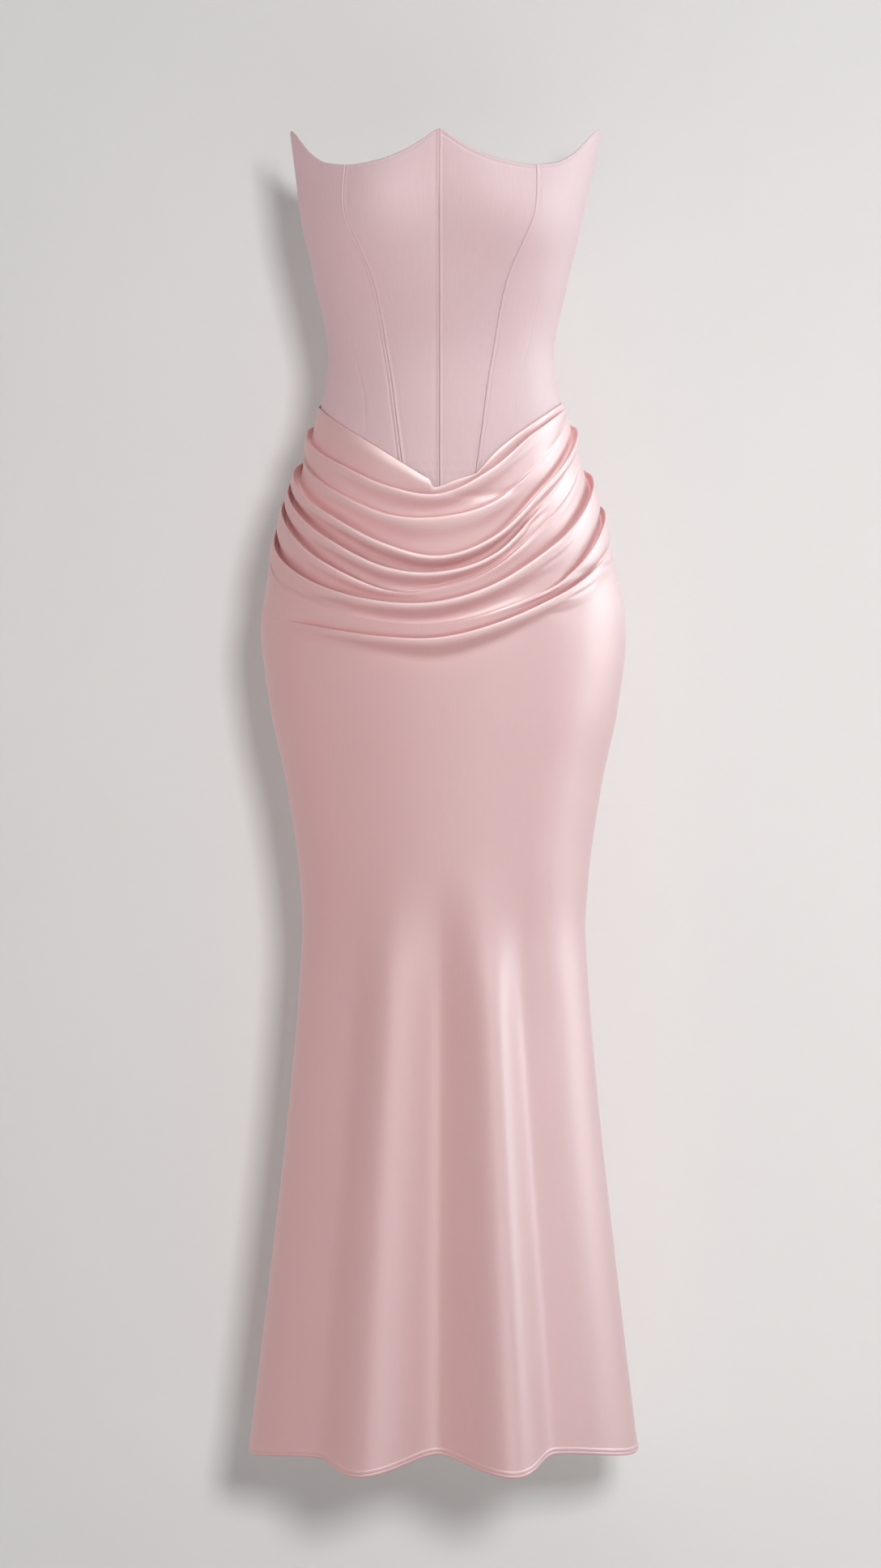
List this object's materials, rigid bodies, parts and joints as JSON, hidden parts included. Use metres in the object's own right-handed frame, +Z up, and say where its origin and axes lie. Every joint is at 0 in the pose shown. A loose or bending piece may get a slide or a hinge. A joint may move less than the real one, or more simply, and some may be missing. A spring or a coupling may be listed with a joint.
{
  "type": "strapless evening gown",
  "caption": "Strapless hollow gown: a corset bodice with peaked neckline and pointed waist, cowl folds over the hips, and a skirt narrowed at the knee that flares to a fluted hem.",
  "frame": {"origin": "on the gown's upright middle line at the narrowest part of the waist, where the wearer holds it", "axes": "+Z up towards the neckline, -Y out of the front, +X towards the wearer's left"},
  "size_m": [0.3932, 0.3462, 1.3389],
  "materials": {
    "corset_satin": "close satin with a fine upright grain, half matte",
    "skirt_satin": "heavy satin with a soft gloss",
    "zip_cloth": "matte woven tape",
    "zip_metal": "enamelled to match the cloth"
  },
  "bodies": {
    "gown": {"bodice_centre_front_left": "corset_satin", "bodice_centre_front_right": "corset_satin", "bodice_side_front_left": "corset_satin", "bodice_side_front_right": "corset_satin", "bodice_side_back_left": "corset_satin", "bodice_side_back_right": "corset_satin", "bodice_centre_back_left": "corset_satin", "bodice_centre_back_right": "corset_satin", "skirt_front": "skirt_satin", "skirt_back_left": "skirt_satin", "skirt_back_right": "skirt_satin", "zip_tape": "zip_cloth", "zip_slider": "zip_metal"},
    "pull": {"zip_pull": "zip_metal"}
  },
  "joints": [
    {"name": "pull_hinge", "type": "hinge", "parent": "gown", "child": "pull", "pos_m": [-0.0021, 0.09703, 0.1701], "axis": [1, 0, 0], "range_deg": [-4, 168]}
  ]
}
